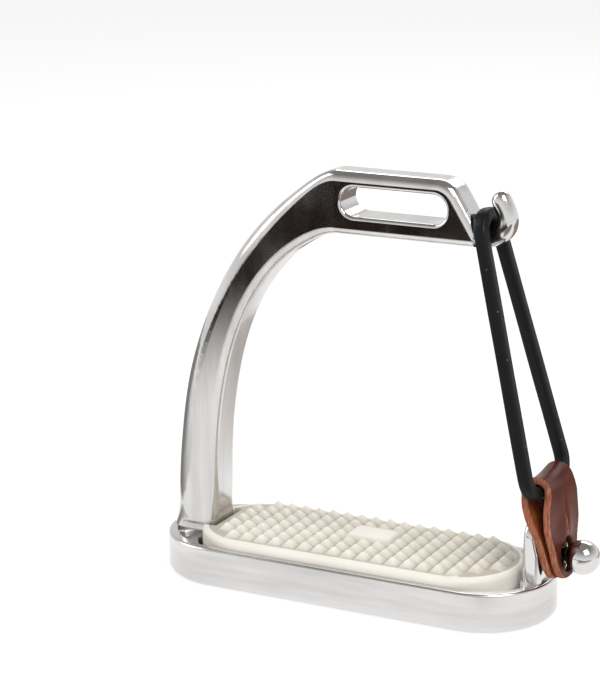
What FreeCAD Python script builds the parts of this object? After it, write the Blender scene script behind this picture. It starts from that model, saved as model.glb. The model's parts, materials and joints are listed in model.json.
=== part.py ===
"""Safety stirrup iron: a cast iron frame with a rubber tread, closed on one side by a rubber ring.

The ring hangs on a hook beside the eye and is held below by a leather tab, which buttons over a
ball stud. Millimetres. Origin: middle of the footbed's underside. +X runs along the tread towards
the ring's side, +Y across the tread, +Z up.
"""
import FreeCAD, Part
import math
import os

V = FreeCAD.Vector
os.makedirs("parts", exist_ok=True)

# Footbed
BED_LENGTH = 142.0
BED_WIDTH = 49.3
BED_HEIGHT = 14.0
BED_BOTTOM_ROUND = 2.6
BED_TOP_ROUND = 0.9
RIM_WALL = 3.0
DISH_FLOOR_Z = 11.0
DISH_ROUND = 1.8
SEAT_Z = 6.0

# Tread pad
PAD_LEFT_X = -59.5
PAD_RIGHT_X = 60.0
PAD_WIDTH = 43.0
PAD_CORNER = 21.0
PAD_GAP = 0.15
PAD_SHOULDER_Z = 17.6
PAD_TOP_Z = 19.6
PAD_SHOULDER_ROUND = 1.2
PAD_BORDER = 2.4
PAD_FOOT_GAP = 0.3
WINDOW_LENGTH = 42.0
WINDOW_WIDTH = 27.0
WINDOW_CORNER = 6.0
WINDOW_CENTRE_X = 28.0
PLUG_BOTTOM_Z = 1.5

# Arch: the leg is a D section, flat towards the foot, that flattens into the eye
EYE_THICKNESS = 13.0
EYE_LEFT_X = -5.5
EYE_RIGHT_X = 44.2
EYE_TOP_Z = 145.4
EYE_BOTTOM_Z = 124.3
EYE_ROUND = 3.2
EYE_LOWER_ROUND = 2.4
EYE_CORNER_X = 36.0
EYE_CORNER_ROUND = 8.9
NECK_TOP_Z = 131.8
SLOT_LENGTH = 38.0
SLOT_HEIGHT = 9.8
SLOT_CENTRE = V(16.0, 0, 135.6)
SLOT_ROUND = 1.1
FOOT_WIDTH = 17.0

# Outer edge x, z; inner edge x, z; thickness across; outer and inner edge rounds
LEG_STATIONS = [
    (-70.4, 14.0, -51.6, 14.0, FOOT_WIDTH, 7.4, 3.6),
    (-69.4, 17.5, -52.0, 17.5, 15.6, 6.9, 3.0),
    (-68.7, 26.0, -51.9, 26.0, 15.0, 6.7, 2.8),
    (-66.9, 48.0, -50.9, 48.5, 14.9, 6.6, 2.7),
    (-63.0, 70.5, -47.8, 69.5, 14.7, 6.4, 2.7),
    (-56.4, 90.0, -43.2, 85.6, 14.5, 6.0, 2.8),
    (-45.4, 111.0, -34.3, 103.0, 14.2, 5.6, 2.9),
    (-31.6, 127.8, -22.7, 115.6, 13.7, 4.8, 3.0),
    (-18.6, 138.8, -13.8, 121.3, 13.2, 3.8, 3.1),
    (-10.4, 144.1, -9.2, 123.4, 13.05, 3.4, 2.7),
    (EYE_LEFT_X, EYE_TOP_Z, EYE_LEFT_X, EYE_BOTTOM_Z, EYE_THICKNESS, EYE_ROUND,
     EYE_LOWER_ROUND),
]

# Hook: centre x, z; direction in degrees from +X; thickness in the arch's plane; width; round
HOOK_STATIONS = [
    (EYE_RIGHT_X, 127.9, 0, 7.6, 8.2, 3.0),
    (48.4, 127.7, 12, 7.3, 7.2, 3.2),
    (52.3, 129.6, 48, 6.7, 7.4, 3.1),
    (53.6, 134.0, 92, 6.4, 7.2, 3.0),
    (51.8, 138.6, 112, 6.5, 6.7, 3.1),
    (51.0, 140.3, 115, 6.0, 6.1, 2.8),
    (50.5, 141.4, 117, 4.7, 4.8, 2.2),
    (50.2, 142.0, 118, 2.4, 2.5, 1.1),
]

# Stub leg and ball stud
STUB_INNER_X = 62.3
STUB_OUTER_X = 68.9
STUB_LEAN = 3.0
STUB_TOP_Z = 34.5
STUB_WIDTH = 11.6
STUB_FOOT_SPREAD = 1.0
STUB_OUTER_SPREAD = 0.2
STUB_ROUND = 2.0
STUB_DOME = 5.2
STUD_Z = 23.5
NECK_START_X = 69.35
NECK_RADIUS = 2.7
SHANK_RADIUS = 2.4
SHANK_START_X = 63.5
BALL_RADIUS = 5.75
BALL_X = 81.4

# Rubber ring: a belt round two circles in a leaning plane
RING_SIDE = 4.4
RING_EDGE_ROUND = 1.2
RING_TOP_RADIUS = 7.0
RING_CORNER_RADIUS = 6.0
RING_BOTTOM_HALF_WIDTH = 15.6
RING_TOP = V(46.15, 0, 134.4)
RING_BIGHT = V(68.7, 0, 46.6)

# Leather tab: a strip folded over the ring's bight, its two ends on the stud's neck
TAB_FOOT = V(72.7, 0, STUD_Z)
LEATHER = 2.5
TAB_HALF_WIDTH = 12.6
TAB_BOTTOM = 7.8
PINCH_GAP = 0.3
PINCH_TOP = 9.0
SPREAD_BELOW_BIGHT = 3.0
RING_GAP = 0.6
NECK_HOLE_RADIUS = 3.5
BUTTON_HOLE_RADIUS = 5.6
SLIT_WIDTH = 0.8
SLIT_TOP = 13.0
FOLD_HALF_WIDTH = 9.8
FOLD_LIFT = 0.8

# The strip's half width at each height above the stud's axis, up to its widest
TAB_EDGE = [(0.0, -TAB_BOTTOM), (5.2, -TAB_BOTTOM + 0.8), (8.6, -2.2), (9.6, 3.0), (TAB_HALF_WIDTH, 13.0)]
# How far below the fold's middle the strip starts to narrow
NARROWING = 6.5

# Cutting tools reach at least this far past what they cut
REACH = 30.0


def rounded_rectangle(x0, x1, half_width, corner, z):
    """A face in the plane z, from x0 to x1 and across +-half_width, with rounded corners."""
    return Part.Face(rounded_wire(V(x0, -half_width, z), V(x1 - x0, 0, 0), V(0, 2 * half_width, 0),
                                  [corner] * 4))


def rounded_wire(start, along, across, rounds):
    """A rectangle's wire; rounds are its radii at start, start+along, the far corner, start+across."""
    corners = [start, start + along, start + along + across, start + across]
    runs = [V(along).normalize(), V(across).normalize(), -V(along).normalize(), -V(across).normalize()]
    edges = []
    for i in range(4):
        before, after, r = runs[i - 1], runs[i], rounds[i]
        arc_start = corners[i] - before * r
        arc_end = corners[i] + after * r
        middle = corners[i] + (after - before) * (r * (1 - math.sqrt(0.5)))
        edges.append(Part.Arc(arc_start, middle, arc_end).toShape())
        next_start = corners[(i + 1) % 4] - after * rounds[(i + 1) % 4]
        edges.append(Part.makeLine(arc_end, next_start))
    return Part.Wire(edges)


def stadium(length, width, z):
    """A face in the plane z with full-round ends."""
    r = width / 2
    straight = length / 2 - r
    edges = [
        Part.makeLine(V(-straight, -r, z), V(straight, -r, z)),
        Part.Arc(V(straight, -r, z), V(length / 2, 0, z), V(straight, r, z)).toShape(),
        Part.makeLine(V(straight, r, z), V(-straight, r, z)),
        Part.Arc(V(-straight, r, z), V(-length / 2, 0, z), V(-straight, -r, z)).toShape(),
    ]
    return Part.Face(Part.Wire(edges))


def edges_at_height(shape, z):
    """The edges that lie in the plane z."""
    return [e for e in shape.Edges if abs(e.BoundBox.ZMin - z) < 1e-4 and abs(e.BoundBox.ZMax - z) < 1e-4]


def pad_seat(grow, z0, z1):
    """The space that the pad's outline takes between two heights, grown by a gap."""
    face = rounded_rectangle(PAD_LEFT_X - grow, PAD_RIGHT_X + grow, PAD_WIDTH / 2 + grow, PAD_CORNER, z0)
    return face.extrude(V(0, 0, z1 - z0))


def foot_block(grow, z0, z1):
    """The block that carries the leg at the footbed's end, grown by a gap."""
    outer_x, inner_x = LEG_STATIONS[0][0], LEG_STATIONS[0][2]
    wire = section(V(outer_x - grow, 0, z0), V(inner_x + grow, 0, z0), FOOT_WIDTH + 2 * grow,
                   LEG_STATIONS[0][5], LEG_STATIONS[0][6])
    return Part.Face(wire).extrude(V(0, 0, z1 - z0))


def stub_block(z0, z1):
    """The block that carries the stub leg at the footbed's other end."""
    spread = STUB_FOOT_SPREAD
    size = V(STUB_OUTER_X - STUB_INNER_X + STUB_OUTER_SPREAD, STUB_WIDTH + 2 * spread, z1 - z0)
    return Part.makeBox(size.x, size.y, size.z, V(STUB_INNER_X, -size.y / 2, z0))


def section(outer, inner, width, outer_round, inner_round):
    """A rounded section square to the arch's plane, from its inner to its outer edge."""
    along = outer - inner
    return rounded_wire(inner + V(0, -width / 2, 0), along, V(0, width, 0),
                        [inner_round, outer_round, outer_round, inner_round])


def make_footbed():
    bed = stadium(BED_LENGTH, BED_WIDTH, 0).extrude(V(0, 0, BED_HEIGHT))
    bed = bed.makeFillet(BED_BOTTOM_ROUND, edges_at_height(bed, 0))
    bed = bed.makeFillet(BED_TOP_ROUND, edges_at_height(bed, BED_HEIGHT))
    dish = stadium(BED_LENGTH - 2 * RIM_WALL, BED_WIDTH - 2 * RIM_WALL, DISH_FLOOR_Z)
    dish = dish.extrude(V(0, 0, BED_HEIGHT))
    dish = dish.makeFillet(DISH_ROUND, edges_at_height(dish, DISH_FLOOR_Z))
    dish = dish.cut(foot_block(0, 0, REACH))
    dish = dish.cut(stub_block(0, REACH))
    seat = pad_seat(PAD_GAP, SEAT_Z, BED_HEIGHT).cut(foot_block(0, 0, REACH))
    bed = bed.cut(dish).cut(seat)
    for window in windows(0, -REACH, SEAT_Z):
        bed = bed.cut(window)
    return bed


def windows(shrink, z0, z1):
    """The two openings in the footbed's floor that the pad's plugs fill."""
    half = WINDOW_LENGTH / 2 - shrink
    centres = [-WINDOW_CENTRE_X, WINDOW_CENTRE_X]
    faces = [rounded_rectangle(c - half, c + half, WINDOW_WIDTH / 2 - shrink, WINDOW_CORNER, z0)
             for c in centres]
    return [face.extrude(V(0, 0, z1 - z0)) for face in faces]


def make_tread_pad():
    pad = pad_seat(0, SEAT_Z, PAD_SHOULDER_Z)
    pad = pad.makeFillet(PAD_SHOULDER_ROUND, edges_at_height(pad, PAD_SHOULDER_Z))
    top = rounded_rectangle(PAD_LEFT_X + PAD_BORDER, PAD_RIGHT_X - PAD_BORDER, PAD_WIDTH / 2 - PAD_BORDER,
                            PAD_CORNER - PAD_BORDER, PAD_SHOULDER_Z)
    pad = pad.fuse(top.extrude(V(0, 0, PAD_TOP_Z - PAD_SHOULDER_Z)))
    for plug in windows(PAD_GAP, PLUG_BOTTOM_Z, SEAT_Z):
        pad = pad.fuse(plug)
    return pad.cut(foot_block(PAD_FOOT_GAP, 0, REACH)).removeSplitter()


def make_arch():
    wires = [section(V(ox, 0, oz), V(ix, 0, iz), w, outer_round, inner_round)
             for ox, oz, ix, iz, w, outer_round, inner_round in LEG_STATIONS]
    leg = Part.makeLoft(wires, True, False)
    eye = make_eye()
    return leg.fuse(eye).removeSplitter()


def make_eye():
    """The flat eye with the slot for the stirrup leather, ending in a slope down to the hook."""
    corners = [(EYE_LEFT_X, EYE_BOTTOM_Z), (EYE_LEFT_X, EYE_TOP_Z), (EYE_CORNER_X, EYE_TOP_Z),
               (EYE_RIGHT_X, NECK_TOP_Z), (EYE_RIGHT_X, EYE_BOTTOM_Z)]
    points = [V(x, -EYE_THICKNESS / 2, z) for x, z in corners]
    eye = Part.Face(Part.makePolygon(points + [points[0]])).extrude(V(0, EYE_THICKNESS, 0))
    shoulder = [e for e in eye.Edges if e.BoundBox.XLength < 1e-4 and e.BoundBox.ZLength < 1e-4
                and abs(e.BoundBox.XMin - EYE_CORNER_X) < 1e-4]
    eye = eye.makeFillet(EYE_CORNER_ROUND, shoulder)
    upper = [e for e in eye.Edges if is_side_edge(e) and e.BoundBox.ZMax > SLOT_CENTRE.z]
    eye = eye.makeFillet(EYE_ROUND, upper)
    lower = [e for e in eye.Edges if is_side_edge(e) and e.BoundBox.ZMax < EYE_BOTTOM_Z + 0.1]
    eye = eye.makeFillet(EYE_LOWER_ROUND, lower)
    return cut_slot(eye)


def is_side_edge(edge):
    """True for an edge on the eye's front or back face, other than its two upright ends."""
    box = edge.BoundBox
    upright = box.XLength < 1e-4
    return box.YLength < 1e-4 and not upright


def cut_slot(eye):
    r = SLOT_HEIGHT / 2
    half = SLOT_LENGTH / 2 - r
    slot = Part.makeBox(2 * half, EYE_THICKNESS, SLOT_HEIGHT,
                        SLOT_CENTRE + V(-half, -EYE_THICKNESS / 2, -r))
    for side in (-half, half):
        slot = slot.fuse(Part.makeCylinder(r, EYE_THICKNESS, SLOT_CENTRE + V(side, -EYE_THICKNESS / 2, 0),
                                           V(0, 1, 0)))
    slot = slot.removeSplitter()
    cut = eye.cut(slot)
    box = slot.BoundBox
    rim = [e for e in cut.Edges if e.BoundBox.YLength < 1e-4 and e.BoundBox.XMin > box.XMin - 0.01
           and e.BoundBox.XMax < box.XMax + 0.01 and e.BoundBox.ZMin > box.ZMin - 0.01
           and e.BoundBox.ZMax < box.ZMax + 0.01]
    return cut.makeFillet(SLOT_ROUND, rim)


def make_hook():
    wires = []
    for x, z, angle, thick, width, edge_round in HOOK_STATIONS:
        turn = math.radians(angle)
        normal = V(-math.sin(turn), 0, math.cos(turn))
        centre = V(x, 0, z)
        wires.append(section(centre + normal * (thick / 2), centre - normal * (thick / 2), width,
                             edge_round, edge_round))
    return Part.makeLoft(wires, True, False)


def make_stub_leg():
    """A short leg with a domed top, leaning a little inwards on its outer face."""
    half = STUB_WIDTH / 2
    spread = STUB_FOOT_SPREAD
    dome_z = STUB_TOP_Z - STUB_DOME
    foot = V(STUB_OUTER_X + STUB_OUTER_SPREAD, 0, BED_HEIGHT)
    side = Part.Wire([
        Part.makeLine(V(STUB_INNER_X, 0, BED_HEIGHT), V(STUB_INNER_X, 0, STUB_TOP_Z)),
        Part.makeLine(V(STUB_INNER_X, 0, STUB_TOP_Z), V(STUB_OUTER_X - STUB_LEAN, 0, STUB_TOP_Z)),
        Part.makeLine(V(STUB_OUTER_X - STUB_LEAN, 0, STUB_TOP_Z), V(STUB_OUTER_X, 0, STUD_Z)),
        Part.makeLine(V(STUB_OUTER_X, 0, STUD_Z), foot),
        Part.makeLine(foot, V(STUB_INNER_X, 0, BED_HEIGHT)),
    ])
    side = Part.Face(side).extrude(V(0, 2 * (half + spread), 0)).translated(V(0, -half - spread, 0))
    front = Part.Wire([
        Part.makeLine(V(0, -half - spread, BED_HEIGHT), V(0, half + spread, BED_HEIGHT)),
        Part.makeLine(V(0, half + spread, BED_HEIGHT), V(0, half, dome_z)),
        Part.Arc(V(0, half, dome_z), V(0, 0, STUB_TOP_Z), V(0, -half, dome_z)).toShape(),
        Part.makeLine(V(0, -half, dome_z), V(0, -half - spread, BED_HEIGHT)),
    ])
    front = Part.Face(front).extrude(V(STUB_INNER_X + REACH, 0, 0))
    stub = side.common(front)
    across = [e for e in stub.Edges if e.BoundBox.ZMax > STUD_Z and e.BoundBox.YLength > half / 2]
    upright = [e for e in stub.Edges if e.BoundBox.ZLength > STUD_Z - BED_HEIGHT - 1]
    upper = across + [e for e in upright if not any(e.isSame(other) for other in across)]
    stub = stub.makeFillet(STUB_ROUND, upper)
    hole = Part.makeCylinder(SHANK_RADIUS, REACH, V(SHANK_START_X, 0, STUD_Z), V(1, 0, 0))
    return stub.cut(hole)


def make_ball_stud():
    """A turned stud: a shank in the stub leg, a plain neck, and a ball head with a small flat end."""
    shank = Part.makeCylinder(SHANK_RADIUS, NECK_START_X - SHANK_START_X, V(SHANK_START_X, 0, STUD_Z),
                              V(1, 0, 0))
    neck = Part.makeCylinder(NECK_RADIUS, BALL_X - NECK_START_X, V(NECK_START_X, 0, STUD_Z), V(1, 0, 0))
    ball = Part.makeSphere(BALL_RADIUS, V(BALL_X, 0, STUD_Z))
    return shank.fuse(neck).fuse(ball).removeSplitter()


def make_ring():
    """A closed moulded ring, drawn out into a loop that widens downwards to its flat bight."""
    run = RING_BIGHT - RING_TOP
    down = V(run).normalize()
    half = RING_SIDE / 2
    ring = loop(half, run.Length).cut(loop(-half, run.Length))
    long_edges = [e for e in ring.Edges if e.BoundBox.ZLength < 1e-4]
    ring = ring.makeFillet(RING_EDGE_ROUND, long_edges)
    normal = down.cross(V(0, 1, 0))
    ring.Placement = FreeCAD.Placement(FreeCAD.Matrix(
        down.x, 0, normal.x, RING_TOP.x,
        down.y, 1, normal.y, RING_TOP.y,
        down.z, 0, normal.z, RING_TOP.z,
        0, 0, 0, 1))
    return ring


def loop(grow, length):
    """The ring's outline grown by a distance: x runs down from its top, y across. RING_SIDE thick."""
    top_radius = RING_TOP_RADIUS + grow
    corner = RING_CORNER_RADIUS + grow
    top = V(RING_TOP_RADIUS, 0, 0)
    low = V(length - RING_CORNER_RADIUS, RING_BOTTOM_HALF_WIDTH - RING_CORNER_RADIUS, 0)
    span = low - top
    turn = math.atan2(span.y, span.x) + math.asin((corner - top_radius) / span.Length)
    across = V(-math.sin(turn), math.cos(turn), 0)
    lean = (math.pi / 2 - math.atan2(across.y, across.x)) / 2
    mid = V(math.cos(math.pi / 4 - lean), math.sin(math.pi / 4 - lean), 0)
    right = [top + across * top_radius, low + across * corner, low + mid * corner, low + V(corner, 0, 0)]
    left = [V(p.x, -p.y, 0) for p in right]
    edges = [
        Part.Arc(left[0], V(-grow, 0, 0), right[0]).toShape(),
        Part.makeLine(right[0], right[1]),
        Part.Arc(right[1], right[2], right[3]).toShape(),
        Part.makeLine(right[3], left[3]),
        Part.Arc(left[3], left[2], left[1]).toShape(),
        Part.makeLine(left[1], left[0]),
    ]
    return Part.Face(Part.Wire(edges)).translated(V(0, 0, -RING_SIDE / 2)).extrude(V(0, 0, RING_SIDE))


def tab_outline(fold_z):
    """The strip's outline across: pointed below, widest at its shoulders, narrow at the fold."""
    right = [V(0, y, z) for y, z in TAB_EDGE]
    right += [V(0, TAB_HALF_WIDTH, fold_z - NARROWING), V(0, FOLD_HALF_WIDTH, fold_z)]
    left = [V(0, -p.y, p.z) for p in reversed(right)]
    outline = Part.makePolygon(right + left)
    return Part.Face(outline).extrude(V(2 * REACH, 0, 0)).translated(V(-REACH, 0, 0))


def make_leather_tab():
    """Made upright about the stud's axis, then leaned so that the fold holds the ring's bight."""
    lean = math.atan2(TAB_FOOT.x - RING_BIGHT.x, RING_BIGHT.z - TAB_FOOT.z)
    bight = (RING_BIGHT - TAB_FOOT).Length
    fold_z = bight + FOLD_LIFT
    inside = RING_SIDE / 2 + RING_GAP
    start = V(0, -FOLD_HALF_WIDTH, fold_z)
    tab = Part.makeCylinder(inside + LEATHER, 2 * FOLD_HALF_WIDTH, start, V(0, 1, 0))
    tab = tab.cut(Part.makeCylinder(inside, 2 * FOLD_HALF_WIDTH, start, V(0, 1, 0)))
    tab = tab.cut(Part.makeBox(2 * REACH, 2 * REACH, REACH, V(-REACH, -REACH, fold_z - REACH)))
    outline = tab_outline(fold_z)
    for side in (-1, 1):
        tab = tab.fuse(make_layer(side, bight, fold_z, inside).common(outline))
    neck_hole = Part.makeCylinder(NECK_HOLE_RADIUS, 2 * REACH, V(-REACH, 0, 0), V(1, 0, 0))
    button_hole = Part.makeCylinder(BUTTON_HOLE_RADIUS, REACH, V(0, 0, 0), V(1, 0, 0))
    slit = Part.makeBox(2 * REACH, SLIT_WIDTH, SLIT_TOP, V(-REACH, -SLIT_WIDTH / 2, 0))
    tab = tab.cut(neck_hole).cut(button_hole).cut(slit).removeSplitter()
    tab.rotate(V(0, 0, 0), V(0, 1, 0), -math.degrees(lean))
    tab.translate(TAB_FOOT)
    return tab


def make_layer(side, bight, fold_z, inside):
    """One layer of the strip: pinched on the stud's neck, spreading up to the ring."""
    low = [V(PINCH_GAP, 0, -REACH), V(PINCH_GAP, 0, PINCH_TOP), V(inside, 0, bight - SPREAD_BELOW_BIGHT),
           V(inside, 0, fold_z)]
    corners = low + [V(p.x + LEATHER, 0, p.z) for p in reversed(low)]
    corners = [V(p.x * side, -REACH, p.z) for p in corners]
    face = Part.Face(Part.makePolygon(corners + [corners[0]]))
    return face.extrude(V(0, 2 * REACH, 0))


NODES = {
    "footbed": make_footbed,
    "arch": make_arch,
    "hook": make_hook,
    "stub_leg": make_stub_leg,
    "ball_stud": make_ball_stud,
    "tread_pad": make_tread_pad,
    "rubber_ring": make_ring,
    "leather_tab": make_leather_tab,
}

for name, make in NODES.items():
    solids = make().Solids
    print(name, len(solids), all(s.isValid() for s in solids), round(sum(s.Volume for s in solids), 1))
    solids[0].exportStep(os.path.join("parts", name + ".step"))
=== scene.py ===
"""Looks of the safety stirrup iron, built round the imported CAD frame. Metres."""
import json
import math

import bmesh
import bpy
import numpy as np
from mathutils import Matrix, Vector


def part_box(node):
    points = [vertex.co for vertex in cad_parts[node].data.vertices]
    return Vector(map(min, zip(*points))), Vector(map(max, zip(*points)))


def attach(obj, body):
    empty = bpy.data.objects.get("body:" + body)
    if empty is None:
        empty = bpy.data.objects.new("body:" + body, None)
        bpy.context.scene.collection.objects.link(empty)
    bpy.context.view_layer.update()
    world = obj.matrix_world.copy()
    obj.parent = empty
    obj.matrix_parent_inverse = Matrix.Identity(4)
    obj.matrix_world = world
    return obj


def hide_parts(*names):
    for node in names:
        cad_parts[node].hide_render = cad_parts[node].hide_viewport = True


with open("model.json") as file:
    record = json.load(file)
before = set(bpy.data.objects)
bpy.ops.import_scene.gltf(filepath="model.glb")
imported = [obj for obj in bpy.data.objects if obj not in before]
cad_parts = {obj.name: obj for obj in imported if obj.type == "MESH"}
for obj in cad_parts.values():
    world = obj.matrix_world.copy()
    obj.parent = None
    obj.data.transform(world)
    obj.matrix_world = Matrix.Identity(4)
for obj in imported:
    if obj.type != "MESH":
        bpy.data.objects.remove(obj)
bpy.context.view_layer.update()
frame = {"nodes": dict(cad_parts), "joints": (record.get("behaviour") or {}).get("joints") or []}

MM = 0.001
BUTTON_HOLE_RADIUS = 5.8 * MM
NODES = frame["nodes"]
JOINTS = {j["name"]: j for j in frame["joints"]}


# ---------------------------------------------------------------- node-material helpers

def new_material(name, colour, roughness, metallic=0.0):
    """A Principled material; its own values show wherever no texture is linked over them."""
    mat = bpy.data.materials.new(name)
    mat.use_nodes = True
    shader = mat.node_tree.nodes["Principled BSDF"]
    shader.inputs["Base Color"].default_value = (*colour, 1.0)
    shader.inputs["Roughness"].default_value = roughness
    shader.inputs["Metallic"].default_value = metallic
    return mat, mat.node_tree, shader


def link(tree, source, target):
    tree.links.new(source, target)


def object_coords(tree, scale=(1.0, 1.0, 1.0)):
    """Object coordinates; a small scale along an axis draws a texture out along it."""
    coords = tree.nodes.new("ShaderNodeTexCoord")
    mapping = tree.nodes.new("ShaderNodeMapping")
    mapping.inputs["Scale"].default_value = scale
    link(tree, coords.outputs["Object"], mapping.inputs["Vector"])
    return mapping.outputs["Vector"]


def noise(tree, vector, scale, detail, roughness):
    node = tree.nodes.new("ShaderNodeTexNoise")
    node.inputs["Scale"].default_value = scale
    node.inputs["Detail"].default_value = detail
    node.inputs["Roughness"].default_value = roughness
    link(tree, vector, node.inputs["Vector"])
    return node.outputs["Fac"]


def cells(tree, vector, scale):
    """Distance to the nearest of scattered points."""
    node = tree.nodes.new("ShaderNodeTexVoronoi")
    node.inputs["Scale"].default_value = scale
    link(tree, vector, node.inputs["Vector"])
    return node.outputs["Distance"]


def remap(tree, value, span, onto):
    """Maps one span of a value onto another, and holds its ends."""
    node = tree.nodes.new("ShaderNodeMapRange")
    node.inputs["From Min"].default_value, node.inputs["From Max"].default_value = span
    node.inputs["To Min"].default_value, node.inputs["To Max"].default_value = onto
    link(tree, value, node.inputs["Value"])
    return node.outputs["Result"]


def ramp(tree, value, stops):
    """A colour ramp; stops are (place, colour)."""
    node = tree.nodes.new("ShaderNodeValToRGB")
    elements = node.color_ramp.elements
    for element, (place, colour) in zip(elements, stops):
        element.position = place
        element.color = (*colour, 1.0)
    for place, colour in stops[len(elements):]:
        elements.new(place).color = (*colour, 1.0)
    link(tree, value, node.inputs["Fac"])
    return node.outputs["Color"]


def separate(tree, vector, axis):
    node = tree.nodes.new("ShaderNodeSeparateXYZ")
    link(tree, vector, node.inputs["Vector"])
    return node.outputs[axis]


def blend(tree, factor, first, second):
    """A colour mix; first and second are colours or sockets."""
    node = tree.nodes.new("ShaderNodeMix")
    node.data_type = "RGBA"
    link(tree, factor, node.inputs["Factor"])
    for socket, value in ((node.inputs["A"], first), (node.inputs["B"], second)):
        if isinstance(value, tuple):
            socket.default_value = (*value, 1.0)
        else:
            link(tree, value, socket)
    return node.outputs["Result"]


def vector_math(tree, operation, vector, other=None, output="Vector"):
    node = tree.nodes.new("ShaderNodeVectorMath")
    node.operation = operation
    if other is not None:
        node.inputs[1].default_value = other
    link(tree, vector, node.inputs[0])
    return node.outputs[output]


def vector_length(tree, vector):
    return vector_math(tree, "LENGTH", vector, output="Value")


def near_axis(tree, centre, radius, soft):
    """1 within a radius of the line through centre along X, 0 outside."""
    away = vector_math(tree, "SUBTRACT", object_coords(tree), centre)
    away = vector_math(tree, "MULTIPLY", away, (0.0, 1.0, 1.0))
    return remap(tree, vector_length(tree, away), (radius, radius + soft), (1.0, 0.0))


def inside_stadium(tree, centre_x, straight, radius, soft):
    """1 inside a full-round outline seen from above, 0 outside."""
    away = vector_math(tree, "SUBTRACT", object_coords(tree), (centre_x, 0.0, 0.0))
    away = vector_math(tree, "ABSOLUTE", away)
    away = vector_math(tree, "SUBTRACT", away, (straight, 0.0, 0.0))
    away = vector_math(tree, "MAXIMUM", away, (0.0, 0.0, 0.0))
    away = vector_math(tree, "MULTIPLY", away, (1.0, 1.0, 0.0))
    return remap(tree, vector_length(tree, away), (radius, radius + soft), (1.0, 0.0))


def bump(tree, shader, height, strength, distance, under=None):
    """Bumps the shader's normal, on top of an earlier bump if one is given."""
    node = tree.nodes.new("ShaderNodeBump")
    node.inputs["Strength"].default_value = strength
    node.inputs["Distance"].default_value = distance
    link(tree, height, node.inputs["Height"])
    if under is not None:
        link(tree, under, node.inputs["Normal"])
    link(tree, node.outputs["Normal"], shader.inputs["Normal"])
    return node.outputs["Normal"]


# ---------------------------------------------------------------- materials

STEEL = (0.70, 0.69, 0.68)
STAINED_STEEL = (0.50, 0.49, 0.48)
# painted shade: the near-black the stud's neck is painted, for the shade in the button hole
NECK_PAINTED_SHADE = (0.02, 0.018, 0.017)
# the pad's colour factor where no painted shade darkens it
UNSHADED = (1.0, 1.0, 1.0)
NECK_BLEND = 0.3 * MM
# softness of the edge of the pad's painted valley shade
VALLEY_SHADE_BLEND = 0.4 * MM
# softness of the edge of the painted shade in the button hole
HOLE_SHADE_BLEND = 0.8 * MM


def polished_steel(name, streaks, rough_low, rough_high):
    """Hand-polished stainless: faint polishing streaks, a soft unevenness and patchy gloss."""
    mat, tree, shader = new_material(name, STEEL, 0.15, 1.0)
    fine = noise(tree, object_coords(tree, streaks), scale=60.0, detail=6.0, roughness=0.65)
    patches = noise(tree, object_coords(tree), scale=55.0, detail=3.0, roughness=0.5)
    mix = tree.nodes.new("ShaderNodeMath")
    mix.operation = "MULTIPLY"
    link(tree, fine, mix.inputs[0])
    link(tree, patches, mix.inputs[1])
    link(tree, remap(tree, mix.outputs["Value"], (0.12, 0.42), (rough_low, rough_high)),
         shader.inputs["Roughness"])
    waves = bump(tree, shader, patches, strength=0.10, distance=0.35 * MM)
    bump(tree, shader, fine, strength=0.035, distance=0.05 * MM, under=waves)
    return mat, tree, shader


def cast_steel(name, streaks, rough_low, rough_high):
    """The casting's polish, with darker stains drawn out along the streaks."""
    mat, tree, shader = polished_steel(name, streaks, rough_low, rough_high)
    stains = noise(tree, object_coords(tree, streaks), scale=26.0, detail=5.0, roughness=0.7)
    tone = ramp(tree, stains, [(0.34, STAINED_STEEL), (0.52, STEEL)])
    link(tree, tone, shader.inputs["Base Color"])
    return mat


def stud_steel(neck_end):
    """The ball's polish, with the neck below it painted near-black as painted shade, where it sits
    in the button hole's shade.
    """
    mat, tree, shader = polished_steel("polished_steel_stud", (1.0, 1.0, 1.0), 0.06, 0.13)
    along = separate(tree, object_coords(tree), "X")
    # painted shade: the neck is painted near-black up to the ball
    neck = remap(tree, along, (neck_end, neck_end + NECK_BLEND), (1.0, 0.0))
    link(tree, blend(tree, neck, STEEL, NECK_PAINTED_SHADE), shader.inputs["Base Color"])
    return mat


def cream_rubber(low, high):
    """Cream rubber, painted darker down into the valleys between the pyramids as painted shade;
    low and high are the pad's box.
    """
    mat, tree, shader = new_material("cream_rubber", (0.80, 0.765, 0.66), 0.55)
    cloud = noise(tree, object_coords(tree), scale=70.0, detail=4.0, roughness=0.6)
    cream_tone = ramp(tree, cloud, [(0.30, (0.82, 0.785, 0.70)), (0.70, (0.89, 0.865, 0.80))])
    # painted shade: darker down towards the valleys between the pyramids, inside the pyramid field
    # only
    up = separate(tree, object_coords(tree), "Z")
    height = remap(tree, up, (PAD_VALLEY_Z, high.z), (0.0, 1.0))
    valley_shade_ramp = ramp(tree, height, [(0.03, (0.46, 0.43, 0.375)), (0.26, (0.80, 0.79, 0.76)),
                                (0.75, UNSHADED)])
    field = inside_stadium(tree, (low.x + high.x) / 2, (high.x - low.x) / 2 - high.y,
                           high.y - PAD_BORDER, VALLEY_SHADE_BLEND)
    valley_shade = blend(tree, field, UNSHADED, valley_shade_ramp)
    product = tree.nodes.new("ShaderNodeMix")
    product.data_type = "RGBA"
    product.blend_type = "MULTIPLY"
    product.inputs["Factor"].default_value = 1.0
    link(tree, cream_tone, product.inputs["A"])
    link(tree, valley_shade, product.inputs["B"])
    link(tree, product.outputs["Result"], shader.inputs["Base Color"])
    grain = noise(tree, object_coords(tree), scale=1500.0, detail=3.0, roughness=0.6)
    link(tree, remap(tree, grain, (0.3, 0.7), (0.48, 0.66)), shader.inputs["Roughness"])
    bump(tree, shader, grain, strength=0.25, distance=0.06 * MM)
    return mat


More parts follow.
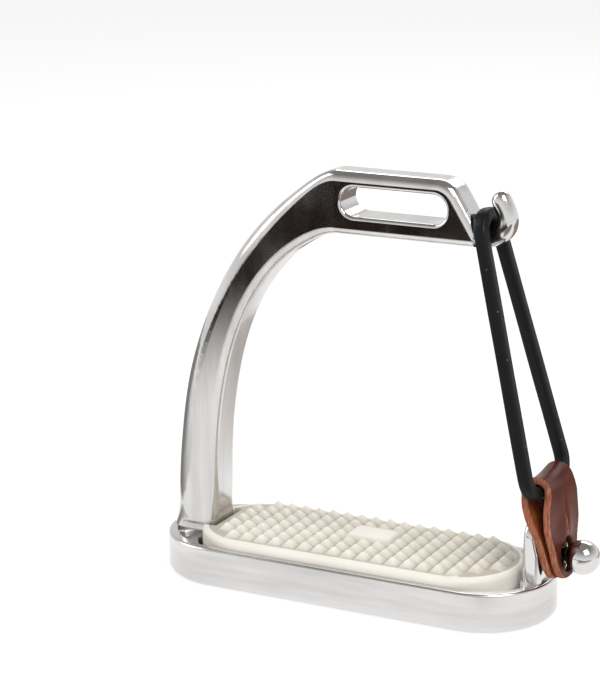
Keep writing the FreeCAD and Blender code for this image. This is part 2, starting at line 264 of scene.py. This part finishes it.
def black_rubber():
    """Black rubber with a dull bloom and a few pale flecks of dust."""
    mat, tree, shader = new_material("black_rubber", (0.010, 0.010, 0.011), 0.4)
    shader.inputs["Specular IOR Level"].default_value = 0.17
    dust = cells(tree, object_coords(tree), scale=260.0)
    link(tree, ramp(tree, dust, [(0.0, (0.34, 0.34, 0.34)), (0.045, (0.16, 0.16, 0.16)),
                                 (0.06, (0.006, 0.0065, 0.0075))]), shader.inputs["Base Color"])
    bloom = noise(tree, object_coords(tree), scale=160.0, detail=5.0, roughness=0.6)
    link(tree, remap(tree, bloom, (0.3, 0.7), (0.30, 0.52)), shader.inputs["Roughness"])
    grain = noise(tree, object_coords(tree), scale=1800.0, detail=2.0, roughness=0.5)
    bump(tree, shader, grain, strength=0.18, distance=0.05 * MM)
    return mat


def leather_grain():
    """The waxed grain side: cloudy chestnut, pores and fine creases."""
    mat, tree, shader = new_material("leather_grain_side", (0.15, 0.032, 0.016), 0.38)
    tone = noise(tree, object_coords(tree), scale=90.0, detail=5.0, roughness=0.6)
    link(tree, ramp(tree, tone, [(0.28, (0.048, 0.0075, 0.004)), (0.55, (0.085, 0.015, 0.0075)),
                                 (0.78, (0.125, 0.026, 0.013))]), shader.inputs["Base Color"])
    pores = cells(tree, object_coords(tree), scale=1300.0)
    link(tree, remap(tree, pores, (0.0, 0.6), (0.46, 0.32)), shader.inputs["Roughness"])
    shader.inputs["Specular IOR Level"].default_value = 0.13
    creases = noise(tree, object_coords(tree), scale=420.0, detail=4.0, roughness=0.6)
    soft = bump(tree, shader, creases, strength=0.22, distance=0.12 * MM)
    bump(tree, shader, pores, strength=0.16, distance=0.06 * MM, under=soft)
    return mat


def leather_flesh(hole):
    """The raw flesh side, fibrous, and painted near-black round the button hole's axis as painted
    shade in the hole.
    """
    mat, tree, shader = new_material("leather_flesh_side", (0.25, 0.06, 0.012), 0.85)
    shader.inputs["Specular IOR Level"].default_value = 0.15
    fibres = noise(tree, object_coords(tree, (1.0, 2.4, 0.7)), scale=520.0, detail=7.0,
                   roughness=0.75)
    raw = ramp(tree, fibres, [(0.30, (0.10, 0.018, 0.005)), (0.50, (0.27, 0.062, 0.012)),
                              (0.72, (0.46, 0.16, 0.045))])
    # painted shade: near-black round the button hole, where the hole is in shade
    hole_shade = near_axis(tree, hole, BUTTON_HOLE_RADIUS, HOLE_SHADE_BLEND)
    link(tree, blend(tree, hole_shade, raw, (0.008, 0.006, 0.005)), shader.inputs["Base Color"])
    bump(tree, shader, fibres, strength=0.9, distance=0.35 * MM)
    return mat


def leather_edge(hole):
    """The raw cut edge, paler than both sides, and painted dark in the button hole as painted
    shade.
    """
    mat, tree, shader = new_material("leather_cut_edge", (0.34, 0.13, 0.075), 0.7)
    shader.inputs["Specular IOR Level"].default_value = 0.2
    layers = noise(tree, object_coords(tree, (3.0, 1.0, 0.6)), scale=500.0, detail=5.0,
                   roughness=0.7)
    raw = ramp(tree, layers, [(0.30, (0.14, 0.038, 0.018)), (0.52, (0.32, 0.11, 0.06)),
                              (0.75, (0.50, 0.24, 0.15))])
    # painted shade: dark round the button hole, where the hole is in shade
    hole_shade = near_axis(tree, hole, BUTTON_HOLE_RADIUS, HOLE_SHADE_BLEND)
    link(tree, blend(tree, hole_shade, raw, (0.02, 0.010, 0.007)), shader.inputs["Base Color"])
    bump(tree, shader, layers, strength=0.6, distance=0.15 * MM)
    return mat


# ---------------------------------------------------------------- mesh helpers

SMOOTH_LEVELS = 1
CORNER_CUTS = 2
TINY = 1e-9
# parts of a grid step: how near the edge a vertex is snapped to it, and the slope's reach
NEAR_EDGE = 0.501
EDGE_REACH = 0.2
SNAP_ROUNDS = 3


def new_piece(name, verts, faces, materials, face_material=None):
    """A smooth-shaded mesh object; face_material gives each face's place in materials."""
    mesh = bpy.data.meshes.new(name)
    mesh.from_pydata([tuple(v) for v in verts], [], faces)
    for mat in materials:
        mesh.materials.append(mat)
    if face_material is not None:
        mesh.polygons.foreach_set("material_index", face_material)
    mesh.polygons.foreach_set("use_smooth", [True] * len(mesh.polygons))
    bm = bmesh.new()
    bm.from_mesh(mesh)
    bmesh.ops.recalc_face_normals(bm, faces=bm.faces)
    bm.to_mesh(mesh)
    bm.free()
    obj = bpy.data.objects.new(name, mesh)
    bpy.context.scene.collection.objects.link(obj)
    return obj


def finish_piece(obj, body, node):
    """Smooths a modelled piece and puts it on its body in place of a CAD node."""
    modifier = obj.modifiers.new("smooth", "SUBSURF")
    modifier.levels = SMOOTH_LEVELS
    modifier.render_levels = SMOOTH_LEVELS
    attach(obj, body)
    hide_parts(node)


def polygon_distance(points, outline):
    """Signed distance of each point from a closed outline, negative inside."""
    best = np.full(len(points), np.inf)
    inside = np.zeros(len(points), bool)
    for a, b in zip(outline, np.roll(outline, -1, axis=0)):
        run = b - a
        rel = points - a
        t = np.clip(rel @ run / (run @ run), 0.0, 1.0)
        best = np.minimum(best, np.linalg.norm(rel - t[:, None] * run, axis=1))
        crosses = (a[1] > points[:, 1]) != (b[1] > points[:, 1])
        if abs(run[1]) > 0:
            inside ^= crosses & (rel[:, 0] < run[0] * rel[:, 1] / run[1])
    return np.where(inside, -best, best)


def cut_corners(start, end):
    """Each side's two points, a quarter in from its ends: one round of corner cutting."""
    return np.stack([0.75 * start + 0.25 * end, 0.25 * start + 0.75 * end], 1).reshape(-1, 2)


def rounded_outline(corners):
    """Turns a short list of corners into a smooth closed outline."""
    pts = np.array(corners, float)
    for _ in range(CORNER_CUTS):
        pts = cut_corners(pts, np.roll(pts, -1, axis=0))
    return pts


def gradient(distance, points, reach):
    """The direction in which a distance grows, measured over a short reach."""
    dx = distance(points + [reach, 0]) - distance(points - [reach, 0])
    dy = distance(points + [0, reach]) - distance(points - [0, reach])
    grad = np.stack([dx, dy], 1)
    return grad / np.maximum(np.linalg.norm(grad, axis=1, keepdims=True), TINY)


def trimmed_grid(low, high, step, distance):
    """A square grid cut to a shape: its outer vertices lie on the shape's edge.

    Returns the points, the faces, and the outward direction at each point on the edge.
    """
    xs = np.arange(low[0], high[0] + step, step)
    ys = np.arange(low[1], high[1] + step, step)
    gx, gy = np.meshgrid(xs, ys, indexing="ij")
    points = np.stack([gx.ravel(), gy.ravel()], 1)
    dist = distance(points)
    near = np.abs(dist) <= NEAR_EDGE * step
    out = np.zeros_like(points)
    for _ in range(SNAP_ROUNDS):
        out[near] = gradient(distance, points[near], EDGE_REACH * step)
        points[near] -= out[near] * distance(points[near])[:, None]
    keep = near | (dist < 0)
    rows = len(ys)
    faces = []
    for i in range(len(xs) - 1):
        for j in range(rows - 1):
            a = i * rows + j
            corners = [a, a + rows, a + rows + 1, a + 1]
            kept = [c for c in corners if keep[c]]
            if len(kept) < 3:
                continue
            middle = points[kept].mean(0)[None]
            if all(near[c] for c in kept) and distance(middle)[0] > -TINY:
                continue
            faces.append(kept)
    used = sorted({c for f in faces for c in f})
    index = {c: i for i, c in enumerate(used)}
    return points[used], [[index[c] for c in f] for f in faces], out[used]


def boundary_edges(faces):
    """The edges that one face uses, each in that face's direction."""
    seen = dict.fromkeys((a, b) for face in faces for a, b in zip(face, face[1:] + face[:1]))
    return [(a, b) for a, b in seen if (b, a) not in seen]


def slab(points, faces, out, surfaces):
    """A closed solid from a flat pattern: surfaces are functions (points, out) -> 3-D rows.

    The first and last are the two skins; those between are rows of the rim. Returns the
    vertices, the faces, and each face's kind: 0 first skin, 1 last skin, 2 rim.
    """
    rows = [f(points, out) for f in surfaces]
    n = len(points)
    rim = boundary_edges(faces)
    edge_points = sorted({a for edge in rim for a in edge})
    verts = [*rows[0], *rows[-1]]
    places = [{a: a for a in edge_points}]
    for row in rows[1:-1]:
        places.append({a: len(verts) + i for i, a in enumerate(edge_points)})
        verts.extend(row[a] for a in edge_points)
    places.append({a: n + a for a in edge_points})
    all_faces = [list(f) for f in faces]
    kinds = [0] * len(faces)
    all_faces += [[n + a for a in reversed(f)] for f in faces]
    kinds += [1] * len(faces)
    for upper, lower in zip(places, places[1:]):
        for a, b in rim:
            all_faces.append([upper[b], upper[a], lower[a], lower[b]])
            kinds.append(2)
    return verts, all_faces, kinds


# ---------------------------------------------------------------- tread pad

PAD_PITCH = 5.5 * MM
PAD_STEPS = 10
PAD_CORNER = 21.0 * MM
PAD_EDGE_ROUND = 1.2 * MM
PAD_BASE_Z = 6.0 * MM
PAD_FACE_Z = 16.95 * MM
PAD_VALLEY_Z = 16.6 * MM
PAD_MARGIN = 3.9 * MM
PAD_BEVEL = 0.9 * MM
PAD_BORDER = 2.2 * MM
PAD_RIM_DROP = 1.6 * PAD_EDGE_ROUND
PAD_FIRST_ROW = (12, 4)
PYRAMID_SLOPE = 1.08
PYRAMID_TOP = 0.99
PLATE_CENTRE = (4.3 * MM, 0.5 * PAD_PITCH)
PLATE_HALF = (1.5 * PAD_PITCH, PAD_PITCH)
PLATE_TOP = 0.85
NOTCH_GAP = 0.3 * MM
ARCH_FOOT = 0.3 * MM


def base_reach(node, height):
    """The highest x and y of a node's surface within a height of its bottom."""
    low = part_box(node)[0].z
    co = np.array([v.co for v in NODES[node].data.vertices if v.co.z < low + height])
    return co.max(0)


def make_tread_pad(material):
    """The pad: whole pyramids inside a flat border, round a plain plate, notched for the leg."""
    lo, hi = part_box("tread_pad")
    centre = np.array([(lo.x + hi.x) / 2, 0.0])
    half = np.array([(hi.x - lo.x) / 2, hi.y])
    foot = base_reach("arch", ARCH_FOOT)
    notch_x = foot[0] + NOTCH_GAP
    notch_y = foot[1] + NOTCH_GAP

    def distance(p):
        q = np.abs(p - centre) - half + PAD_CORNER
        box = np.linalg.norm(np.maximum(q, 0), axis=1) + np.minimum(q.max(1), 0) - PAD_CORNER
        notch = np.maximum(p[:, 0] - notch_x, np.abs(p[:, 1]) - notch_y)
        return np.maximum(box, -notch)

    def field_height(p):
        cell = np.round((p - [PLATE_CENTRE[0], 0.0]) / PAD_PITCH)
        middle = cell * PAD_PITCH + [PLATE_CENTRE[0], 0.0]
        away = np.abs(p - middle).max(1) / (PAD_PITCH / 2)
        pyramid = PAD_VALLEY_Z + (hi.z - PAD_VALLEY_Z) * np.clip(
            PYRAMID_SLOPE * (1 - away), 0, PYRAMID_TOP)
        outside = distance(middle) > -PAD_MARGIN
        height = np.where(outside, PAD_FACE_Z, pyramid)
        height += (PAD_FACE_Z - height) * np.clip(1 + distance(p) / PAD_BEVEL, 0, 1)
        inset = (np.array(PLATE_HALF) - np.abs(p - PLATE_CENTRE)).min(1)
        plate = PAD_FACE_Z + (hi.z - PAD_FACE_Z) * np.clip(inset / PAD_BEVEL, 0, PLATE_TOP)
        return np.where(inset > 0, plate, height)

    def face_height(p):
        depth = np.clip(PAD_EDGE_ROUND + distance(p), 0, PAD_EDGE_ROUND)
        drop = PAD_EDGE_ROUND - np.sqrt(PAD_EDGE_ROUND ** 2 - depth ** 2)
        return field_height(p) - drop

    def at_height(z):
        return lambda p, out: np.column_stack([p, np.full(len(p), z)])

    step = PAD_PITCH / PAD_STEPS
    low = (PLATE_CENTRE[0] - PAD_FIRST_ROW[0] * PAD_PITCH, -PAD_FIRST_ROW[1] * PAD_PITCH)
    points, faces, out = trimmed_grid(low, (hi.x, hi.y), step, distance)
    surfaces = [lambda p, out: np.column_stack([p, face_height(p)]),
                at_height(PAD_FACE_Z - PAD_RIM_DROP), at_height(PAD_BASE_Z + MM),
                at_height(PAD_BASE_Z)]
    verts, faces, _ = slab(points, faces, out, surfaces)
    pad = new_piece("tread_pad_moulded", verts, faces, [material])
    finish_piece(pad, "iron", "tread_pad")


# ---------------------------------------------------------------- rubber ring

RING_SIDE = 4.4 * MM
RING_TOP = Vector((46.15, 0.0, 134.4)) * MM
RING_TOP_RADIUS = 7.0 * MM
RING_CORNER_RADIUS = 6.0 * MM
RING_HALF_WIDTH = 15.6 * MM
RING_SECTION_POINTS = 24
RING_SQUARENESS = 5
RING_SWELL = 0.012
RING_SWELL_RATE = 0.9
RING_TOP_STEPS = 16
RING_SIDE_STEPS = 14
RING_FLAT_PLACES = (0.75, 0.5, 0.25)


def ring_outline(length):
    """Centreline points (down, across) of the loop, and the outward direction at each."""
    top = np.array([RING_TOP_RADIUS, 0.0])
    low = np.array([length - RING_CORNER_RADIUS, RING_HALF_WIDTH - RING_CORNER_RADIUS])
    span = low - top
    turn = math.atan2(span[1], span[0]) + math.asin(
        (RING_CORNER_RADIUS - RING_TOP_RADIUS) / np.linalg.norm(span))
    side_angle = math.pi / 2 + turn

    def arc(centre, radius, start, end, count):
        for angle in np.linspace(start, end, count):
            direction = np.array([math.cos(angle), math.sin(angle)])
            yield centre + radius * direction, direction

    # the upper bight, a straight side, a corner and half of the flat lower bight, then the mirror
    half = list(arc(top, RING_TOP_RADIUS, math.pi, side_angle, RING_TOP_STEPS))
    first, direction = half[-1]
    corner = list(arc(low, RING_CORNER_RADIUS, side_angle, 0.0, RING_SIDE_STEPS))
    for t in np.linspace(0, 1, RING_SIDE_STEPS)[1:-1]:
        half.append((first + t * (corner[0][0] - first), direction))
    half += corner
    for t in RING_FLAT_PLACES:
        half.append((np.array([corner[-1][0][0], t * corner[-1][0][1]]), corner[-1][1]))
    flip = np.array([1.0, -1.0])
    other = [(p * flip, d * flip) for p, d in reversed(half[1:])]
    bottom = (np.array([corner[-1][0][0], 0.0]), corner[-1][1])
    return half + [bottom] + other


def make_rubber_ring(material):
    """The ring: a rounded-square section swept round the loop, its thickness slightly uneven."""
    bight = Vector(JOINTS["ring_release"]["pos_m"])
    down = (bight - RING_TOP).normalized()
    across = Vector((0, 1, 0))
    normal = down.cross(across)
    stations = ring_outline((bight - RING_TOP).length)
    verts = []
    for k, (place, outward) in enumerate(stations):
        middle = RING_TOP + down * place[0] + across * place[1]
        out = down * outward[0] + across * outward[1]
        swell = 1.0 + RING_SWELL * math.sin(RING_SWELL_RATE * k)
        for i in range(RING_SECTION_POINTS):
            angle = 2 * math.pi * (i + 0.5) / RING_SECTION_POINTS
            c, s = math.cos(angle), math.sin(angle)
            corner = abs(c) ** RING_SQUARENESS + abs(s) ** RING_SQUARENESS
            reach = 0.5 * RING_SIDE * swell / corner ** (1 / RING_SQUARENESS)
            verts.append(middle + out * (reach * c) + normal * (reach * s))
    n, m = len(stations), RING_SECTION_POINTS
    faces = [[k * m + i, k * m + (i + 1) % m, (k + 1) % n * m + (i + 1) % m,
              (k + 1) % n * m + i] for k in range(n) for i in range(m)]
    ring = new_piece("rubber_ring_moulded", verts, faces, [material])
    finish_piece(ring, "ring", "rubber_ring")


# ---------------------------------------------------------------- leather tab

LEATHER = 2.5 * MM
OUTER_PINCH = 2.2 * MM
INNER_PINCH = 1.42 * MM
SPREAD = 4.05 * MM
TAB_TIP = 7.8 * MM
NECK_HOLE_RADIUS = 3.1 * MM
SLIT_LENGTH = 10.0 * MM
OUTER_SLIT_HALF_WIDTH = 0.95 * MM
INNER_SLIT_HALF_WIDTH = 0.25 * MM
TAB_STEP = 0.6 * MM
EDGE_ROUND = 0.35 * MM
RIM_ROW = 0.62
FOLD_STEPS = 13
PATH_CUTS = 3
SLOPE_REACH = 0.3 * MM
TAB_HALF_BOX = 14 * MM
SADDLE_LENGTH = 19 * MM
SADDLE_WIDTH = 9.5 * MM
SADDLE_RISE = 1.1 * MM
SADDLE_SAG = 0.9 * MM
PUCKER_PLACE = 9 * MM
PUCKER_SIZE = (5.5 * MM, 6.5 * MM)
PUCKER_HEIGHT = 1.1 * MM
CREASE_PLACE = 14 * MM
CREASE_SIZE = (0.9 * MM, 7 * MM)
CREASE_DEPTH = 0.45 * MM
OUTER_FADE = 6 * MM
WAVE_SIZE = (4.3 * MM, 3.1 * MM)
WAVE_HEIGHT = 0.12 * MM
WAVE_FADE = 8 * MM
# (share of the way from the pinch to the fold's spread, height above the stud in mm)
OUTER_OPENING = [(0.0, -TAB_TIP / MM), (0.0, -2), (0.08, 4), (0.35, 10), (0.75, 16), (1.0, 20.5)]
INNER_OPENING = [(0.0, -TAB_TIP / MM), (0.0, -2), (0.0, 4), (0.03, 8), (0.25, 12), (0.7, 17),
                 (1.0, 21)]
# (half width in mm, distance from the fold in mm), then the same from the strip's end
HALF_WIDTHS = [(9.5, 0.0), (9.7, 5.5), (12.3, 11.0), (12.7, 15.0), (12.6, 20.0)]
END_HALF_WIDTHS = [(9.8, -10.8), (8.7, -5.4), (5.6, -0.6), (0.0, 0.2)]


def tab_path(bight):
    """The folded strip's middle surface seen from the side: out from the ring's plane, and up."""
    def side(pinch, opening):
        rows = [(pinch + part * (SPREAD - pinch), up * MM) for part, up in opening]
        return rows + [(SPREAD, bight)]

    outer = side(OUTER_PINCH, OUTER_OPENING)
    inner = side(INNER_PINCH, INNER_OPENING)
    fold = [(SPREAD * math.cos(a), bight + SPREAD * math.sin(a))
            for a in np.linspace(0, math.pi, FOLD_STEPS)[1:-1]]
    pts = np.array(outer + fold + [(-u, v) for u, v in reversed(inner)])
    for _ in range(PATH_CUTS):
        pts = np.concatenate([pts[:1], cut_corners(pts[:-1], pts[1:]), pts[-1:]])
    along = np.concatenate([[0], np.cumsum(np.linalg.norm(np.diff(pts, axis=0), axis=1))])
    return pts, along - along[-1] / 2


def tab_pattern(half_length):
    """Flat outline of the strip and its two keyholes: a signed distance, across and along."""
    quarter = HALF_WIDTHS + [(x, half_length / MM + y) for x, y in END_HALF_WIDTHS]
    right = [(x, -y) for x, y in reversed(quarter[1:])] + quarter
    corners = right + [(-x, y) for x, y in reversed(right[1:-1])]
    outline = rounded_outline(np.array(corners) * MM)

    def distance(p):
        strip = polygon_distance(p, outline)
        q = np.column_stack([p[:, 0], half_length - TAB_TIP - np.abs(p[:, 1])])
        radius = np.where(p[:, 1] < 0, BUTTON_HOLE_RADIUS, NECK_HOLE_RADIUS)
        hole = np.hypot(q[:, 0], q[:, 1]) - radius
        slit_top = radius + SLIT_LENGTH
        half_width = np.where(p[:, 1] < 0, OUTER_SLIT_HALF_WIDTH, INNER_SLIT_HALF_WIDTH)
        taper = half_width * (1 - np.clip(q[:, 1] / slit_top, 0, 1))
        ends = np.maximum(-q[:, 1], q[:, 1] - slit_top)
        slit = np.maximum(np.abs(q[:, 0]) - taper, ends)
        return np.maximum(strip, -np.minimum(hole, slit))

    return distance


def tab_relief(y, s, from_hole):
    """How far the leather stands proud of its path, and how far its fold sags in the middle.

    y runs across the strip and s along it from the fold; from_hole is the distance from the
    button holes. The outer layer is where s is negative: it swells above its hole, round a crease.
    """
    near_fold = np.clip(1 - np.abs(s) / SADDLE_LENGTH, 0, 1)
    near_fold = near_fold ** 2 * (3 - 2 * near_fold)
    saddle = near_fold * (SADDLE_RISE * (y / SADDLE_WIDTH) ** 2 - SADDLE_SAG)

    def hill(place, size):
        """A smooth hill at a distance above the hole; its size is across and along."""
        return np.exp(-((from_hole - place) / size[1]) ** 2) * np.exp(-(y / size[0]) ** 2)

    outer = np.maximum(np.clip(-s / OUTER_FADE, -1, 1), 0.0)
    bulge = outer * (PUCKER_HEIGHT * hill(PUCKER_PLACE, PUCKER_SIZE)
                     - CREASE_DEPTH * hill(CREASE_PLACE, CREASE_SIZE))
    wave = (WAVE_HEIGHT * np.sin(s / WAVE_SIZE[1] + y / WAVE_SIZE[0])
            * np.clip(from_hole / WAVE_FADE, 0, 1))
    return bulge + wave, saddle


def make_leather_tab(grain, flesh, edge):
    """The strip: its flat pattern laid along the folded path, from the stud to the ring."""
    foot = Vector(JOINTS["tab_swivel"]["pos_m"])
    bight = Vector(JOINTS["ring_release"]["pos_m"])
    path, along = tab_path((bight - foot).length)
    half_length = along[-1]
    lean = Matrix.Rotation(-math.atan2(foot.x - bight.x, bight.z - foot.z), 3, "Y")
    tilt = np.array(lean)

    def surface(offset, pull):
        def rows(p, out):
            flat = p - out * pull
            y, s = flat.T
            mid, ahead, behind = (
                np.column_stack([np.interp(s + shift, along, path[:, i]) for i in (0, 1)])
                for shift in (0.0, SLOPE_REACH, -SLOPE_REACH))
            run = ahead - behind
            run /= np.linalg.norm(run, axis=1, keepdims=True)
            normal = np.column_stack([run[:, 1], -run[:, 0]])
            proud, saddle = tab_relief(y, s, half_length - TAB_TIP - np.abs(s))
            place = mid + normal * (offset + proud)[:, None]
            local = np.column_stack([place[:, 0], y, place[:, 1] + saddle])
            return local @ tilt.T + np.array(foot)
        return rows

    distance = tab_pattern(half_length)
    points, faces, out = trimmed_grid((-TAB_HALF_BOX, -half_length - MM),
                                      (TAB_HALF_BOX, half_length + MM), TAB_STEP, distance)
    half = LEATHER / 2
    surfaces = [surface(half, EDGE_ROUND), surface(RIM_ROW * half, 0.0),
                surface(-RIM_ROW * half, 0.0), surface(-half, EDGE_ROUND)]
    verts, faces, kinds = slab(points, faces, out, surfaces)
    tab = new_piece("leather_tab_folded", verts, faces, [grain, flesh, edge], kinds)
    finish_piece(tab, "tab", "leather_tab")


# ---------------------------------------------------------------- steel nodes

def dress(node, material):
    """Gives a CAD node its material; its mesh stays as it is."""
    mesh = NODES[node].data
    mesh.materials.clear()
    mesh.materials.append(material)


# ---------------------------------------------------------------- studio

VIEW_AZIMUTH = math.radians(27.615)
VIEW_ELEVATION = math.radians(15.276)
VIEW_ROLL = math.radians(-0.64)
VIEW_DISTANCE = 0.7902
VIEW_TARGET = Vector((-0.0216, 0.0, 0.0857))
VIEW_LENS = 124.64
VIEW_SENSOR = 36.0
VIEW_CLIP_START = 0.01
FLOOR_HALF = 6.0
FLOOR_DROP = 0.1 * MM
FLOOR_GLOW = 0.78
CARD_HEIGHT = 2 * MM
SIDE_CARD_HEIGHT = 3 * MM


def make_camera():
    """The camera at the photograph's viewing angle."""
    back = Vector((math.sin(VIEW_AZIMUTH) * math.cos(VIEW_ELEVATION),
                   -math.cos(VIEW_AZIMUTH) * math.cos(VIEW_ELEVATION), math.sin(VIEW_ELEVATION)))
    right = Vector((math.cos(VIEW_AZIMUTH), math.sin(VIEW_AZIMUTH), 0.0))
    up = back.cross(right)
    c, s = math.cos(VIEW_ROLL), math.sin(VIEW_ROLL)
    right, up = c * right + s * up, c * up - s * right
    data = bpy.data.cameras.new("camera")
    data.lens = VIEW_LENS
    data.sensor_width = VIEW_SENSOR
    data.clip_start = VIEW_CLIP_START
    camera = bpy.data.objects.new("camera", data)
    bpy.context.scene.collection.objects.link(camera)
    turn = Matrix((right, up, back)).transposed().to_4x4()
    camera.matrix_world = Matrix.Translation(VIEW_TARGET + back * VIEW_DISTANCE) @ turn
    bpy.context.scene.camera = camera


def softbox(name, place, target, size, power):
    """A soft rectangular lamp at a place, turned to a target."""
    data = bpy.data.lights.new(name, "AREA")
    data.shape = "RECTANGLE"
    data.size, data.size_y = size
    data.energy = power
    light = bpy.data.objects.new(name, data)
    bpy.context.scene.collection.objects.link(light)
    direction = Vector(target) - Vector(place)
    light.location = place
    light.rotation_euler = direction.to_track_quat("-Z", "Y").to_euler()


def flat_sheet(name, low, high, height, material):
    corners = [(low[0], low[1], height), (high[0], low[1], height),
               (high[0], high[1], height), (low[0], high[1], height)]
    return new_piece(name, corners, [[0, 1, 2, 3]], [material])


def reflector(name, low, high, height, shade, fade):
    """A sheet above the floor that only glossy reflections show.

    It spans low to high in x and y, and thins out over the fade along the edge towards the iron.
    """
    mat = bpy.data.materials.new(name)
    mat.use_nodes = True
    tree = mat.node_tree
    tree.nodes.clear()
    glow = tree.nodes.new("ShaderNodeEmission")
    glow.inputs["Color"].default_value = (*shade, 1.0)
    clear = tree.nodes.new("ShaderNodeBsdfTransparent")
    mix = tree.nodes.new("ShaderNodeMixShader")
    output = tree.nodes.new("ShaderNodeOutputMaterial")
    near, far = (high[1], high[1] - fade) if high[1] < 0 else (low[1], low[1] + fade)
    along = separate(tree, object_coords(tree), "Y")
    link(tree, remap(tree, along, (near, far), (0.0, 1.0)), mix.inputs["Fac"])
    link(tree, clear.outputs["BSDF"], mix.inputs[1])
    link(tree, glow.outputs["Emission"], mix.inputs[2])
    link(tree, mix.outputs["Shader"], output.inputs["Surface"])
    card = flat_sheet(name, low, high, height, mat)
    card.visible_camera = False
    card.visible_diffuse = False
    card.visible_shadow = False
    card.visible_transmission = False


def make_floor():
    """A plain pale floor, lit partly by its own glow."""
    mat, tree, shader = new_material("studio_floor", (0.3, 0.3, 0.3), 0.9)
    shader.inputs["Specular IOR Level"].default_value = 0.0
    shader.inputs["Emission Color"].default_value = (1.0, 1.0, 1.0, 1.0)
    shader.inputs["Emission Strength"].default_value = FLOOR_GLOW
    floor = flat_sheet("studio_floor", (-FLOOR_HALF, -FLOOR_HALF), (FLOOR_HALF, FLOOR_HALF),
                       0.0, mat)
    floor.location.z = -FLOOR_DROP


def make_studio():
    """Floor, a sky that greys with height, three soft lamps and four cards for the steel."""
    make_floor()
    scene = bpy.context.scene
    scene.view_settings.view_transform = "Standard"
    world = bpy.data.worlds.new("studio")
    scene.world = world
    world.use_nodes = True
    tree = world.node_tree
    background = tree.nodes["Background"]
    coords = tree.nodes.new("ShaderNodeTexCoord")
    height = separate(tree, coords.outputs["Generated"], "Z")
    sky = ramp(tree, height, [(0.0, (1.0, 1.0, 1.0)), (0.25, (0.82, 0.82, 0.82)),
                              (0.8, (0.26, 0.25, 0.24))])
    link(tree, sky, background.inputs["Color"])
    background.inputs["Strength"].default_value = 1.0
    softbox("key_light", (0.55, -0.35, 0.75), (0, 0, 0.05), (0.45, 0.45), 5.0)
    softbox("fill_light", (-0.75, -0.25, 0.55), (0, 0, 0.06), (0.35, 0.7), 2.5)
    softbox("back_light", (-0.1, 0.9, 0.8), (0, 0, 0.05), (0.9, 0.4), 4.0)
    for name, low, high, height, shade, fade in (
            ("card_front", (-0.75, -1.30), (0.25, -0.19), CARD_HEIGHT,
             (0.016, 0.010, 0.007), 0.17),
            ("card_back", (-0.02, 0.07), (0.45, 0.75), CARD_HEIGHT,
             (0.30, 0.25, 0.22), 0.10),
            ("card_left", (-0.90, -0.14), (-0.13, 0.40), SIDE_CARD_HEIGHT,
             (0.28, 0.27, 0.26), 0.14),
            ("card_right", (0.06, -0.40), (0.60, -0.034), SIDE_CARD_HEIGHT,
             (0.26, 0.23, 0.22), 0.07)):
        reflector(name, low, high, height, shade, fade)


# ---------------------------------------------------------------- build

make_camera()
make_studio()
steel_upright = cast_steel("polished_steel_upright", (1.0, 1.0, 0.12), 0.08, 0.19)
steel_level = cast_steel("polished_steel_level", (0.12, 0.12, 1.0), 0.15, 0.30)
for node in ("arch", "hook", "stub_leg"):
    dress(node, steel_upright)
dress("footbed", steel_level)
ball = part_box("ball_stud")
dress("ball_stud", stud_steel(ball[1].x - 2 * ball[1].y))
make_tread_pad(cream_rubber(*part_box("tread_pad")))
make_rubber_ring(black_rubber())
stud_axis = tuple(JOINTS["tab_swivel"]["pos_m"])
make_leather_tab(leather_grain(), leather_flesh(stud_axis), leather_edge(stud_axis))
